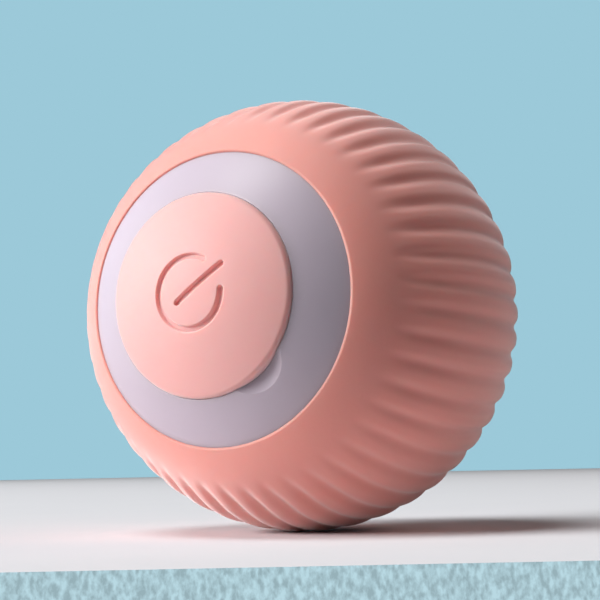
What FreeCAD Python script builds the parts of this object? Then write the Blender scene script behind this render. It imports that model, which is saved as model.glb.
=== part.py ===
import FreeCAD, Part
import math
import os

# Self-rolling cat ball, 43 mm over the sleeve's ribs, in millimetres.
# The ball's centre is the origin. The ball turns about the Y axis, with the power button at -Y
# and the charging cover at +Y. +Z is up, and the weighted carriage hangs at -Z.

# Fits: a piece in its seat, faces that meet, solids fused into one piece, and tools that cut
seat_gap = 0.05
small_gap = 0.02
overlap = 0.1
overshoot = 1.0

# Ball and silicone sleeve
crest_radius = 21.5
shoulder_radius = 21.45
rim_radius = 21.2
valley_radius = 20.97
sleeve_inner_radius = 19.82
rib_count = 48
rib_round_radius = 2.25
rib_root_radius = 20.22
rib_end_latitude = 37.0
rib_end_round = 6.12
rib_end_sweep = 20.0
valley_end_latitude = 26.0
shoulder_latitude = 39.0
window_radius = 13.45
lip_width = 0.36
lip_height = 0.28

# Frosted half shells, joined by a lap at the equator
shell_outer_radius = 19.8
shell_inner_radius = 18.3
band_radius = 20.95
band_edge_radius = 13.4
lap_depth = 1.5
lap_radius = 19.0

# Pocket at each pole, with the bearing boss behind it
pocket_radius = 9.2
pocket_edge_round = 0.1
pocket_floor_outer = 16.4
pocket_floor_inner = 15.4
boss_outer_radius = 7.1
boss_end = 12.6
bush_outer_radius = 6.2
bush_bore_radius = 5.65
bush_flange_end = 12.3

# Nail notch beside each polar disc
notch_angle = -51.0
notch_middle = 8.0
notch_mouth_radius = 3.4
notch_ball_radius = 8.0

# Polar discs: power button at the front, charging cover at the rear
disc_dome_radius = 21.0
disc_edge_radius = 9.1
disc_wall = 1.2
disc_edge_round = 0.5
skirt_inner_radius = 8.6
skirt_end = 17.1
insert_radius = 8.5
insert_top = 17.8
insert_bottom = 17.15
insert_bore_radius = 6.0
insert_rib_half_width = 1.0
seal_round_radius = 0.2
groove_low = 17.45
groove_high = 18.0
groove_depth = 0.35
gasket_inner_radius = 8.75
gasket_height = 0.25

# Button's post and its three snap hooks
press_gap = 0.05
post_radius = 1.6
hook_count = 3
hook_angle = 60.0
hook_width = 2.0
hook_inner = 7.8
hook_outer = 8.5
hook_catch = 9.0
hook_end = 14.8
hook_room = 0.2

# Engraved stand-by sign
symbol_depth = 0.35
symbol_ring_radius = 3.2
symbol_stroke = 0.5
symbol_gap = 61.0
symbol_gap_turn = 32.0
symbol_bar_turn = 35.5
symbol_bar_low = -1.4
symbol_bar_high = 3.95

# Internal ring gear and its train, all axes along Y
gear_module = 0.5
ring_teeth = 54
pinion_teeth = 10
ring_addendum = 0.36
ring_dedendum = 0.58
pinion_addendum = 0.45
pinion_dedendum = 0.56
wheel_module = 0.3
wheel_teeth = 27
motor_pinion_teeth = 9
wheel_addendum = 0.24
motor_pinion_addendum = 0.26
wheel_dedendum = 0.36
backlash = 0.05
pressure_angle = math.radians(25.0)
idler_z = gear_module * (ring_teeth - pinion_teeth) / 2
motor_z = idler_z - wheel_module * (wheel_teeth + motor_pinion_teeth) / 2
ring_front = -10.6
ring_back = -8.4
ring_outer_radius = 14.85
ring_ledge = 1.25
key_count = 3
key_angle = 30.0
key_half_width = 1.0
key_height = 0.5
small_gear_front = -10.5
small_gear_back = -8.0
wheel_front = -7.7
wheel_back = -6.3
motor_pinion_front = -7.8
motor_pinion_back = -6.2
idler_neck_radius = 1.7
idler_hub_radius = 1.3
idler_pin_radius = 0.6
idler_pin_gap = 0.04

# End plates with their bearing hubs
hub_outer_radius = 5.6
hub_bore_radius = 4.85
hub_end = 16.3
plate_face = 12.15
plate_back = 11.15
plate_radius = 11.3
tongue_half_width = 2.0
tongue_top = 12.6
arm_x = 6.5
arm_z = -7.5
arm_radius = 1.3
post_x = 6.5
post_z = 6.0
post_bore_floor = 10.55
lamp_x = 8.4
lamp_window_radius = 1.6

# Boards and what they carry
board_gap = 0.45
board_thickness = 0.8
board_face = plate_back - board_gap
board_inner_face = board_face - board_thickness
main_board_radius = 10.5
switch_board_half_length = 9.9
switch_board_half_height = 4.3
rear_board_screws = ((8.3, -4.3), (-8.3, -4.3))
front_board_screws = ((6.3, 3.0), (-6.3, -3.0))
board_boss_radius = 1.1
board_boss_bore_radius = 0.42
board_hole_radius = 0.45
board_screw_radius = 0.4
board_screw_head_radius = 0.8
board_screw_head_height = 0.4
lamp_half_width = 1.0
lamp_half_height = 0.8
lamp_depth = 1.3
switch_half_width = 3.0
switch_corner = 0.5
switch_height = 3.4
stem_reach = 4.5
stem_radius = 1.7
stem_bore_depth = 1.2
stem_foot_depth = 0.65

# Motor and its mount
mount_front = -5.9
mount_back = -4.9
mount_half_width = 7.9
mount_top = 7.6
collar_wall = 0.9
collar_length = 4.0
motor_radius = 4.0
motor_length = 12.0
motor_wall = 0.3
motor_front_wall = 0.4
motor_boss_radius = 1.6
motor_cap_length = 1.3
motor_cap_plug = 1.0
motor_shaft_radius = 0.5
motor_shaft_front = -8.3
motor_shaft_gap = 0.05
rotor_radius = 2.7
rotor_front_room = 2.0
rotor_back_room = 2.6
terminal_x = 2.6
terminal_half_width = 0.6
terminal_half_thickness = 0.15
terminal_root = 0.4

# Tray, cell and counterweight
tray_half_x = 9.0
tray_half_y = 8.0
tray_wall = 0.9
tray_bottom = -12.2
tray_top = -6.0
cell_half_x = 7.9
cell_half_y = 7.4
cell_top = -3.8
cell_edge_round = 1.4
cell_room = 0.1
weight_radius = 17.5
weight_screw_y = 4.0
weight_screw_radius = 0.7
weight_screw_length = 3.2
weight_head_radius = 1.3
weight_head_height = 0.6
weight_slot_half_width = 0.15
weight_slot_depth = 0.3

# Pan head screws
screw_radius = 0.6
screw_head_radius = 1.15
screw_head_height = 0.7
screw_slot_depth = 0.385
screw_slot_half_length = 0.7
screw_slot_half_width = 0.14
carrier_screw_tip = 9.0

# Charging socket
socket_width = 8.94
socket_height = 3.26
socket_wall = 0.3
socket_back_wall = 0.6
socket_mouth = 16.2
contact_half_width = 3.35
contact_half_thickness = 0.35
contact_setback = 0.5

# Wires
lead_radius = 0.35
lead_bend_share = 0.45
switch_lead_pitch = 1.5
switch_lead_count = 4
switch_lead_end_z = -1.2
switch_lead_low_z = -2.4
battery_lead_x = 5.0
battery_lead_rise = 1.2

Y_AXIS = FreeCAD.Vector(0, 1, 0)
Z_AXIS = FreeCAD.Vector(0, 0, 1)
CENTRE = FreeCAD.Vector(0, 0, 0)


# Shape helpers

def sphere_y(radius, r):
    return math.sqrt(radius * radius - r * r)


def arc_on_sphere(radius, start, end):
    """One arc step, about the ball's centre, from start to end: (via, end)."""
    mean = (math.atan2(start[1], start[0]) + math.atan2(end[1], end[0])) / 2
    return (radius * math.cos(mean), radius * math.sin(mean), end[0], end[1])


def wire_of(steps, to_vector):
    """A closed wire. A step of two numbers is a straight line, one of four an arc through a point."""
    edges = []
    here = steps[0]
    for step in list(steps[1:]) + [steps[0]]:
        a = to_vector(here[-2], here[-1])
        b = to_vector(step[-2], step[-1])
        if a.distanceToPoint(b) > 1e-7:
            if len(step) == 4:
                edges.append(Part.Arc(a, to_vector(step[0], step[1]), b).toShape())
            else:
                edges.append(Part.LineSegment(a, b).toShape())
        here = step
    return Part.Wire(edges)


def turned(steps, angle=360.0):
    """A solid of revolution about the Y axis from an (r, y) outline."""
    wire = wire_of(steps, lambda r, y: FreeCAD.Vector(r, y, 0))
    return Part.Face(wire).revolve(CENTRE, Y_AXIS, angle)


def ring(outer, inner, y0, y1):
    return turned([(inner, y0), (outer, y0), (outer, y1), (inner, y1)])


def rod(radius, y0, y1, x=0.0, z=0.0):
    return Part.makeCylinder(radius, y1 - y0, FreeCAD.Vector(x, y0, z), Y_AXIS)


def block(x0, x1, y0, y1, z0, z1):
    return Part.makeBox(x1 - x0, y1 - y0, z1 - z0, FreeCAD.Vector(x0, y0, z0))


def oblong(half_length, half_height, y0, y1):
    """A prism along Y with two round ends on X."""
    straight = half_length - half_height
    body = block(-straight, straight, y0, y1, -half_height, half_height)
    for side in (-1, 1):
        body = body.fuse(rod(half_height, y0, y1, side * straight, 0.0))
    return body


def extruded(steps, y0, y1):
    """A prism along Y from an (x, z) outline."""
    wire = wire_of(steps, lambda x, z: FreeCAD.Vector(x, y0, z))
    return Part.Face(wire).extrude(FreeCAD.Vector(0, y1 - y0, 0))


def flipped(shape):
    """The same shape on the other side of the equator."""
    return shape.mirror(CENTRE, Y_AXIS)


def spun(shape, degrees):
    copy = shape.copy()
    copy.rotate(CENTRE, Y_AXIS, degrees)
    return copy


def polar(radius, degrees):
    """(x, z) at an angle counted from +X towards +Z."""
    return (radius * math.cos(math.radians(degrees)), radius * math.sin(math.radians(degrees)))


def headed_pin(x, z, face, tip, radius, head_radius, head_height):
    """A screw's shank and head: the head sits on the plane y = face, the point is at y = tip."""
    out = math.copysign(1.0, face - tip)
    head_low, head_high = sorted((face, face + out * head_height))
    low, high = sorted((face, tip))
    return rod(head_radius, head_low, head_high, x, z).fuse(rod(radius, low, high, x, z))


def pan_screw(x, z, face, tip):
    """A screw with a cross slot."""
    out = math.copysign(1.0, face - tip)
    body = headed_pin(x, z, face, tip, screw_radius, screw_head_radius, screw_head_height)
    head_top = face + out * screw_head_height
    low, high = sorted((head_top - out * screw_slot_depth, head_top + out * overshoot))
    for half_x, half_z in ((screw_slot_half_length, screw_slot_half_width),
                           (screw_slot_half_width, screw_slot_half_length)):
        body = body.cut(block(x - half_x, x + half_x, low, high, z - half_z, z + half_z))
    return body


# Gears

def tooth_half_angle(r, teeth, module, thickness):
    pitch_radius = module * teeth / 2
    base_radius = pitch_radius * math.cos(pressure_angle)
    flank = math.acos(min(1.0, base_radius / r))
    involute = math.tan(flank) - flank
    start = math.tan(pressure_angle) - pressure_angle
    return thickness / 2 / pitch_radius + start - involute


def gear_outline(teeth, module, tip, root, thickness, first_tooth, z=0.0):
    """Outline of a gear centred on (0, z), whose first tooth points at the angle first_tooth."""
    base_radius = module * teeth / 2 * math.cos(pressure_angle)
    foot = max(base_radius, root)
    middle = (foot + tip) / 2
    half_foot = tooth_half_angle(foot, teeth, module, thickness)
    half_middle = tooth_half_angle(middle, teeth, module, thickness)
    half_tip = tooth_half_angle(tip, teeth, module, thickness)
    pitch = 2 * math.pi / teeth

    def place(r, angle):
        return (r * math.cos(angle), z + r * math.sin(angle))

    steps = []
    for tooth in range(teeth):
        mid = math.radians(first_tooth) + tooth * pitch
        gap_mid = mid + pitch / 2
        steps.append(place(root, mid - half_foot))
        steps.append(place(foot, mid - half_foot))
        steps.append(place(middle, mid - half_middle) + place(tip, mid - half_tip))
        steps.append(place(tip, mid) + place(tip, mid + half_tip))
        steps.append(place(middle, mid + half_middle) + place(foot, mid + half_foot))
        steps.append(place(root, mid + half_foot))
        steps.append(place(root, gap_mid) + place(root, mid + pitch - half_foot))
    return steps


def spur(teeth, module, addendum, dedendum, first_tooth, y0, y1, z):
    pitch_radius = module * teeth / 2
    thickness = math.pi * module / 2 - backlash
    outline = gear_outline(teeth, module, pitch_radius + addendum, pitch_radius - dedendum,
                           thickness, first_tooth, z)
    return extruded(outline, y0, y1)


# Rotating shell

def silicone_sleeve():
    """One-piece sleeve whose meridian valleys run out before its two round windows."""
    shoulder = math.radians(shoulder_latitude)
    valley = math.radians(valley_end_latitude)
    lip_y = sphere_y(rim_radius, window_radius)
    lip_start = window_radius + lip_width
    lip_crown = (window_radius + lip_width / 2, lip_y)
    rim = (lip_start, sphere_y(rim_radius, lip_start))
    ledge = (window_radius, lip_y - lip_height)
    outer_edge = (shoulder_radius * math.cos(shoulder), shoulder_radius * math.sin(shoulder))
    valley_edge = (valley_radius * math.cos(valley), valley_radius * math.sin(valley))
    fall_radius = shoulder_radius - (shoulder_radius - rim_radius) / 4
    fall_angle = (shoulder + math.atan2(rim[1], rim[0])) / 2
    fall = (fall_radius * math.cos(fall_angle), fall_radius * math.sin(fall_angle))
    inner = (window_radius, sphere_y(sleeve_inner_radius, window_radius))
    low_inner, low_ledge, low_crown, low_rim, low_fall, low_outer, low_valley = [
        (r, -y) for r, y in (inner, ledge, lip_crown, rim, fall, outer_edge, valley_edge)]
    steps = [
        inner,
        ledge,
        lip_crown + rim,
        fall + outer_edge,
        valley_edge,
        arc_on_sphere(valley_radius, valley_edge, low_valley),
        low_outer,
        low_fall + low_rim,
        low_crown + low_ledge,
        low_inner,
        arc_on_sphere(sleeve_inner_radius, low_inner, inner),
    ]
    base = turned(steps)
    rib = sleeve_rib()
    ribs = [spun(rib, 360.0 * index / rib_count) for index in range(rib_count)]
    return base.multiFuse(ribs)


def sleeve_rib():
    """One rounded rib on the meridian of +X, cut to its share of the sleeve."""
    path_radius = crest_radius - rib_round_radius
    latitude = math.radians(rib_end_latitude)

    def section(angle):
        middle = FreeCAD.Vector(path_radius * math.cos(angle), path_radius * math.sin(angle), 0)
        along = FreeCAD.Vector(-math.sin(angle), math.cos(angle), 0)
        return Part.Face(Part.Wire(Part.Circle(middle, along, rib_round_radius).toShape()))

    body = section(-latitude).revolve(CENTRE, Z_AXIS, 2 * rib_end_latitude)
    turn_radius = path_radius - rib_end_round
    turn_centre = FreeCAD.Vector(turn_radius * math.cos(latitude), turn_radius * math.sin(latitude), 0)
    end = section(latitude).revolve(turn_centre, Z_AXIS, rib_end_sweep)
    rib = body.fuse(end).fuse(flipped(end))
    share = 360.0 / rib_count
    far = crest_radius + overshoot
    near = path_radius - rib_end_round
    wedge = turned([(near, -far), (far, -far), (far, far), (near, far)], share)
    wedge = spun(wedge, -share / 2)
    return rib.common(wedge).cut(Part.makeSphere(rib_root_radius))


def half_shell_outline(inner_steps, equator_steps):
    """The outline of a half shell on the +Y side, from the equator over the pole and back."""
    under_sleeve = (band_edge_radius, sphere_y(shell_outer_radius, band_edge_radius))
    band_edge = (band_edge_radius, sphere_y(band_radius, band_edge_radius))
    round_r = pocket_radius + pocket_edge_round
    round_y = sphere_y(band_radius - pocket_edge_round, round_r)
    lean = math.atan2(round_y, round_r)

    def on_round(angle):
        return (round_r + pocket_edge_round * math.cos(angle),
                round_y + pocket_edge_round * math.sin(angle))

    return equator_steps + [
        arc_on_sphere(shell_outer_radius, (shell_outer_radius, 0.0), under_sleeve),
        band_edge,
        arc_on_sphere(band_radius, band_edge, on_round(lean)),
        on_round((lean + math.pi) / 2) + on_round(math.pi),
        (pocket_radius, pocket_floor_outer),
        (bush_outer_radius, pocket_floor_outer),
        (bush_outer_radius, boss_end),
        (boss_outer_radius, boss_end),
        (boss_outer_radius, pocket_floor_inner),
    ] + inner_steps


def nail_notch():
    """A shallow round scoop in the +Y band at the disc's edge, where a nail lifts the disc."""
    surface = sphere_y(band_radius, notch_middle)
    lift = math.sqrt(notch_ball_radius ** 2 - notch_mouth_radius ** 2)
    share = (band_radius + lift) / band_radius
    x, z = polar(notch_middle * share, notch_angle)
    return Part.makeSphere(notch_ball_radius, FreeCAD.Vector(x, surface * share, z))


def front_shell():
    """Frosted half shell at the button's side, with the seat of the ring gear."""
    wall = shell_inner_radius
    seat_front = -ring_front + seat_gap
    seat_back = -ring_back
    seat_radius = ring_outer_radius + seat_gap
    ledge_radius = ring_outer_radius - ring_ledge
    floor_edge = (sphere_y(wall, pocket_floor_inner), pocket_floor_inner)
    ledge_edge = (ledge_radius, sphere_y(wall, ledge_radius))
    seat_edge = (sphere_y(wall, seat_back), seat_back)
    recess_radius = lap_radius + seat_gap
    recess_depth = lap_depth + seat_gap
    recess_edge = (sphere_y(wall, recess_depth), recess_depth)
    inner_steps = [
        floor_edge,
        arc_on_sphere(wall, floor_edge, ledge_edge),
        (ledge_radius, seat_front),
        (seat_radius, seat_front),
        (seat_radius, seat_back),
        seat_edge,
        arc_on_sphere(wall, seat_edge, recess_edge),
        (recess_radius, recess_depth),
    ]
    equator_steps = [(recess_radius, 0.0), (shell_outer_radius, 0.0)]
    shell = turned(half_shell_outline(inner_steps, equator_steps))
    shell = flipped(shell.cut(nail_notch()))
    for window in hook_windows():
        shell = shell.cut(window)
    for keyway in ring_keys(seat_gap, overlap):
        shell = shell.cut(keyway)
    return shell


def hook_windows():
    """Windows in the pocket's floor that the button's snap hooks reach through."""
    half_width = hook_width / 2 + hook_room
    window = block(hook_inner - hook_room, hook_outer + hook_room,
                   -pocket_floor_outer - overlap, -pocket_floor_inner + overlap,
                   -half_width, half_width)
    return [spun(window, hook_angle + 360.0 * index / hook_count) for index in range(hook_count)]


def ring_keys(room, extra_back):
    """The ring gear's keys, or their keyways with room round them and open at the back."""
    half_width = key_half_width + room
    key = block(ring_outer_radius - overlap, ring_outer_radius + key_height + room,
                ring_front - room, ring_back + extra_back, -half_width, half_width)
    return [spun(key, key_angle + 360.0 * index / key_count) for index in range(key_count)]


def rear_shell():
    """Frosted half shell at the charging side, with the tongue of the lap joint."""
    wall = shell_inner_radius
    floor_edge = (sphere_y(wall, pocket_floor_inner), pocket_floor_inner)
    inner_steps = [floor_edge, arc_on_sphere(wall, floor_edge, (wall, 0.0))]
    equator_steps = [
        (wall, -lap_depth),
        (lap_radius, -lap_depth),
        (lap_radius, small_gap),
        (shell_outer_radius, small_gap),
    ]
    shell = turned(half_shell_outline(inner_steps, equator_steps))
    return shell.cut(nail_notch())


def ring_gear():
    """Internal gear keyed into the front shell."""
    pitch_radius = gear_module * ring_teeth / 2
    root = pitch_radius + ring_dedendum
    tip = pitch_radius - ring_addendum
    space = math.pi * gear_module / 2 + backlash
    opening = extruded(gear_outline(ring_teeth, gear_module, root, tip, space, 90.0),
                       ring_front - overshoot, ring_back + overshoot)
    body = rod(ring_outer_radius, ring_front, ring_back)
    for key in ring_keys(0.0, 0.0):
        body = body.fuse(key)
    return body.cut(opening)


def rear_bushing():
    """Plain flanged bearing ring pressed into the boss."""
    top = pocket_floor_outer - seat_gap
    outer = bush_outer_radius - small_gap / 2
    steps = [
        (bush_bore_radius, bush_flange_end),
        (boss_outer_radius, bush_flange_end),
        (boss_outer_radius, boss_end - small_gap),
        (outer, boss_end - small_gap),
        (outer, top),
        (bush_bore_radius, top),
    ]
    return turned(steps)


def front_bushing():
    return flipped(rear_bushing())


def button_gasket():
    """Soft ring on the pocket floor that the button's skirt meets at the end of its travel."""
    floor = -pocket_floor_outer - small_gap / 2
    return ring(pocket_radius - overlap, gasket_inner_radius, floor - gasket_height, floor)


# Polar discs

def disc_cap():
    """The domed pink disc with a rounded rim and a short skirt, on the +Y side."""
    inner_radius = disc_dome_radius - disc_wall
    round_r = disc_edge_radius - disc_edge_round
    round_y = sphere_y(disc_dome_radius - disc_edge_round, round_r)
    lean = math.atan2(round_y, round_r)

    def on_round(angle):
        return (round_r + disc_edge_round * math.cos(angle), round_y + disc_edge_round * math.sin(angle))

    under = (skirt_inner_radius, sphere_y(inner_radius, skirt_inner_radius))
    steps = [
        (skirt_inner_radius, skirt_end),
        (disc_edge_radius, skirt_end),
        (disc_edge_radius, round_y),
        on_round(lean / 2) + on_round(lean),
        arc_on_sphere(disc_dome_radius, on_round(lean), (0.0, disc_dome_radius)),
        (0.0, inner_radius),
        arc_on_sphere(inner_radius, (0.0, inner_radius), under),
    ]
    return turned(steps)


def symbol_tool():
    """The stand-by sign, a broken circle and a bar, as seen from the button's side."""
    outer = symbol_ring_radius + symbol_stroke / 2
    inner = symbol_ring_radius - symbol_stroke / 2
    front = -disc_dome_radius - overshoot
    back = -sphere_y(disc_dome_radius - symbol_depth, symbol_bar_high) + overlap
    first = symbol_gap_turn + symbol_gap / 2
    last = symbol_gap_turn - symbol_gap / 2 + 360.0
    middle = (first + last) / 2
    arc = extruded([
        polar(inner, first),
        polar(outer, first),
        polar(outer, middle) + polar(outer, last),
        polar(inner, last),
        polar(inner, middle) + polar(inner, first),
    ], front, back)
    bar = block(symbol_bar_low, symbol_bar_high, front, back, -symbol_stroke / 2, symbol_stroke / 2)
    bar = spun(bar, -symbol_bar_turn)
    return arc.fuse(bar).cut(Part.makeSphere(disc_dome_radius - symbol_depth))


def power_button():
    return flipped(disc_cap()).cut(symbol_tool())


def button_plunger():
    """Inner half of the button: a plate, a centre post and three snap hooks."""
    body = rod(insert_radius, -insert_top, -insert_bottom)
    foot = -insert_bottom - overlap
    post_tip = -board_face - stem_reach - press_gap
    body = body.fuse(rod(post_radius, foot, post_tip))
    half_width = hook_width / 2
    leg = block(hook_inner, hook_outer, foot, -hook_end, -half_width, half_width)
    catch = block(hook_outer - overlap, hook_catch, -pocket_floor_inner + seat_gap, -hook_end,
                  -half_width, half_width)
    hook = leg.fuse(catch)
    for index in range(hook_count):
        body = body.fuse(spun(hook, hook_angle + 360.0 * index / hook_count))
    return body


def charging_cover():
    """Plain pull-off disc over the charging socket, grooved for its seal."""
    groove = ring(disc_edge_radius + overshoot, disc_edge_radius - groove_depth, groove_low, groove_high)
    return disc_cap().cut(groove)


def cover_insert():
    """White inner half of the cover: a ring plate stiffened by a centre rib."""
    body = ring(insert_radius, insert_bore_radius, insert_bottom, insert_top)
    reach = insert_bore_radius + overlap
    return body.fuse(block(-reach, reach, insert_bottom, insert_top,
                           -insert_rib_half_width, insert_rib_half_width))


def cover_seal():
    """Soft round ring in the cover's groove."""
    middle = pocket_radius - seat_gap - seal_round_radius
    centre = FreeCAD.Vector(middle, (groove_low + groove_high) / 2, 0)
    circle = Part.Circle(centre, Z_AXIS, seal_round_radius)
    return Part.Face(Part.Wire(circle.toShape())).revolve(CENTRE, Y_AXIS, 360)


# Carriage

def carrier(with_tongue):
    """A bearing hub with its end plate, on the +Y side."""
    plate = rod(plate_radius, plate_back, plate_face)
    if with_tongue:
        tongue_z = tongue_top - tongue_half_width
        plate = plate.fuse(block(-tongue_half_width, tongue_half_width, plate_back, plate_face,
                                 0.0, tongue_z))
        plate = plate.fuse(rod(tongue_half_width, plate_back, plate_face, 0.0, tongue_z))
    front = plate_back - overshoot
    back = plate_face + overshoot
    hub = rod(hub_outer_radius, plate_back, hub_end)
    body = plate.fuse(hub).cut(rod(hub_bore_radius, front, hub_end + overshoot))
    for side in (-1, 1):
        body = body.cut(rod(lamp_window_radius, front, back, side * lamp_x, 0.0))
        body = body.cut(rod(screw_radius + small_gap, front, back, side * arm_x, arm_z))
    return body


def with_board_bosses(body, places):
    """The end plate with the low bosses that its board is screwed to."""
    for x, z in places:
        body = body.fuse(rod(board_boss_radius, plate_back - board_gap, plate_back + overlap, x, z))
        body = body.cut(rod(board_boss_bore_radius, plate_back - overshoot, plate_face - overlap, x, z))
    return body


def front_carrier():
    """End plate at the button's side, with two posts for the motor mount."""
    body = carrier(True)
    body = body.cut(rod(idler_pin_radius + small_gap, plate_back - overshoot,
                        plate_face + overshoot, 0.0, idler_z))
    for side in (-1, 1):
        x = side * post_x
        body = body.fuse(rod(arm_radius, -mount_front, plate_back + overlap, x, post_z))
        body = body.cut(rod(screw_radius + small_gap, -mount_front - overshoot, post_bore_floor,
                            x, post_z))
    return flipped(with_board_bosses(body, front_board_screws))


def rear_carrier():
    return with_board_bosses(carrier(False), rear_board_screws)


def battery_tray():
    """Open tray for the cell, with four arms that the end plates are screwed to."""
    inner_x = tray_half_x - tray_wall
    inner_y = cell_half_y + cell_room
    body = block(-tray_half_x, tray_half_x, -tray_half_y, tray_half_y, tray_bottom, tray_top)
    body = body.cut(block(-inner_x, inner_x, -inner_y, inner_y,
                          tray_bottom + tray_wall, tray_top + overshoot))
    arm = rod(arm_radius, inner_y + overlap, plate_back, arm_x, arm_z)
    bore = rod(screw_radius + small_gap, tray_half_y, plate_back + overshoot, arm_x, arm_z)
    arms = [arm, flipped(arm)]
    bores = [bore, flipped(bore)]
    for shape in arms + [mirrored_x(shape) for shape in arms]:
        body = body.fuse(shape)
    for shape in bores + [mirrored_x(shape) for shape in bores]:
        body = body.cut(shape)
    for y in (-weight_screw_y, weight_screw_y):
        body = body.cut(weight_screw_blank(y, small_gap))
    return body


def mirrored_x(shape):
    return shape.mirror(CENTRE, FreeCAD.Vector(1, 0, 0))


def weight_screw_blank(y, room=0.0):
    """Countersunk screw from the tray's floor down into the counterweight, or its bore."""
    top = FreeCAD.Vector(0, y, tray_bottom + tray_wall)
    down = FreeCAD.Vector(0, 0, -1)
    shank_radius = weight_screw_radius + room
    head = Part.makeCone(weight_head_radius + room, shank_radius, weight_head_height, top, down)
    return head.fuse(Part.makeCylinder(shank_radius, weight_screw_length + room, top, down))


def weight_screws():
    """Two countersunk screws with straight slots."""
    top = tray_bottom + tray_wall
    slot_half_length = weight_head_radius - weight_head_height
    screws = []
    for y in (-weight_screw_y, weight_screw_y):
        slot = block(-slot_half_length, slot_half_length, y - weight_slot_half_width,
                     y + weight_slot_half_width, top - weight_slot_depth, top + overshoot)
        screws.append(weight_screw_blank(y).cut(slot))
    return Part.makeCompound(screws)


def counterweight():
    """Steel block under the tray, rounded to run close to the shell's wall."""
    body = block(-tray_half_x, tray_half_x, -tray_half_y, tray_half_y, -weight_radius,
                 tray_bottom - small_gap)
    body = body.common(Part.makeSphere(weight_radius))
    for y in (-weight_screw_y, weight_screw_y):
        body = body.cut(weight_screw_blank(y, small_gap))
    return body


def battery_cell():
    """Small pouch cell with rounded long edges."""
    floor = tray_bottom + tray_wall + small_gap
    body = block(-cell_half_x, cell_half_x, -cell_half_y, cell_half_y, floor, cell_top)
    long_edges = [e for e in body.Edges if abs(e.tangentAt(e.FirstParameter).y) > 0.9]
    return body.makeFillet(cell_edge_round, long_edges)


def motor_mount():
    """Plate and collar that carry the motor and the rear end of the idler's pin."""
    collar_radius = motor_radius + collar_wall
    tongue_z = tongue_top - tongue_half_width
    plate = block(-mount_half_width, mount_half_width, mount_front, mount_back,
                  motor_z - collar_radius, mount_top)
    plate = plate.fuse(block(-tongue_half_width, tongue_half_width, mount_front, mount_back,
                             mount_top - overlap, tongue_z))
    plate = plate.fuse(rod(tongue_half_width, mount_front, mount_back, 0.0, tongue_z))
    collar = rod(collar_radius, mount_front, mount_back + collar_length, 0.0, motor_z)
    front = mount_front - overshoot
    back = mount_back + overshoot
    body = plate.fuse(collar)
    body = body.cut(rod(motor_radius + small_gap, mount_back, mount_back + collar_length + overshoot,
                        0.0, motor_z))
    body = body.cut(rod(motor_boss_radius + seat_gap, front, back, 0.0, motor_z))
    body = body.cut(rod(idler_pin_radius + small_gap, front, back, 0.0, idler_z))
    for side in (-1, 1):
        body = body.cut(rod(screw_radius + small_gap, front, back, side * post_x, post_z))
    return body


def motor_can():
    """Drawn steel can with its front bearing boss."""
    front = mount_back + small_gap
    body = rod(motor_radius, front, front + motor_length, 0.0, motor_z)
    body = body.fuse(rod(motor_boss_radius, mount_front + overlap, front + overlap, 0.0, motor_z))
    inside = rod(motor_radius - motor_wall, front + motor_front_wall,
                 front + motor_length + overshoot, 0.0, motor_z)
    bore = rod(motor_shaft_radius + motor_shaft_gap, mount_front - overshoot, front + overshoot,
               0.0, motor_z)
    return body.cut(inside).cut(bore)


def motor_end_cap():
    """Plastic rear cap that closes the can."""
    start = mount_back + small_gap + motor_length
    end = start + motor_cap_length
    plug_radius = motor_radius - motor_wall - small_gap
    body = rod(plug_radius, start - motor_cap_plug, start + overlap, 0.0, motor_z)
    body = body.fuse(rod(motor_radius, start + small_gap, end, 0.0, motor_z))
    body = body.cut(rod(motor_shaft_radius + motor_shaft_gap, start - motor_cap_plug - overshoot,
                        end - terminal_root, 0.0, motor_z))
    for side in (-1, 1):
        body = body.cut(terminal(side, small_gap))
    return body


def terminal(side, room=0.0):
    """A flat tab from the motor's rear cap to the main board, or its slot."""
    start = mount_back + small_gap + motor_length + terminal_root
    half_width = terminal_half_width + room
    half_thickness = terminal_half_thickness + room
    x = side * terminal_x
    return block(x - half_width, x + half_width, start - room, board_inner_face - small_gap,
                 motor_z - half_thickness, motor_z + half_thickness)


def motor_terminals():
    return Part.makeCompound([terminal(-1), terminal(1)])


def motor_rotor():
    """Wound rotor on the motor's shaft, inside the can."""
    front = mount_back + small_gap
    end = front + motor_length
    body = rod(rotor_radius, front + rotor_front_room, end - rotor_back_room, 0.0, motor_z)
    return body.cut(rod(motor_shaft_radius, front, end, 0.0, motor_z))


def motor_shaft():
    cap_end = mount_back + small_gap + motor_length + motor_cap_length
    end = cap_end - terminal_root - small_gap
    return rod(motor_shaft_radius, motor_shaft_front, end, 0.0, motor_z)


def motor_pinion():
    gear = spur(motor_pinion_teeth, wheel_module, motor_pinion_addendum, wheel_dedendum, -90.0,
                motor_pinion_front, motor_pinion_back, motor_z)
    return gear.cut(rod(motor_shaft_radius, motor_pinion_front - overshoot,
                        motor_pinion_back + overshoot, 0.0, motor_z))


def idler_gear():
    """Compound gear: the small gear drives the ring, the large one meets the motor's pinion."""
    small = spur(pinion_teeth, gear_module, pinion_addendum, pinion_dedendum, 90.0,
                 small_gear_front, small_gear_back, idler_z)
    large = spur(wheel_teeth, wheel_module, wheel_addendum, wheel_dedendum, -90.0,
                 wheel_front, wheel_back, idler_z)
    neck = rod(idler_neck_radius, small_gear_back - overlap, wheel_front + overlap, 0.0, idler_z)
    hub = rod(idler_hub_radius, wheel_back - overlap, mount_front - overlap, 0.0, idler_z)
    body = small.fuse(neck).fuse(large).fuse(hub)
    return body.cut(rod(idler_pin_radius + idler_pin_gap, small_gear_front - overshoot,
                        mount_front + overshoot, 0.0, idler_z))


def idler_pin():
    return rod(idler_pin_radius, -plate_face + seat_gap, mount_back - seat_gap, 0.0, idler_z)


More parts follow.
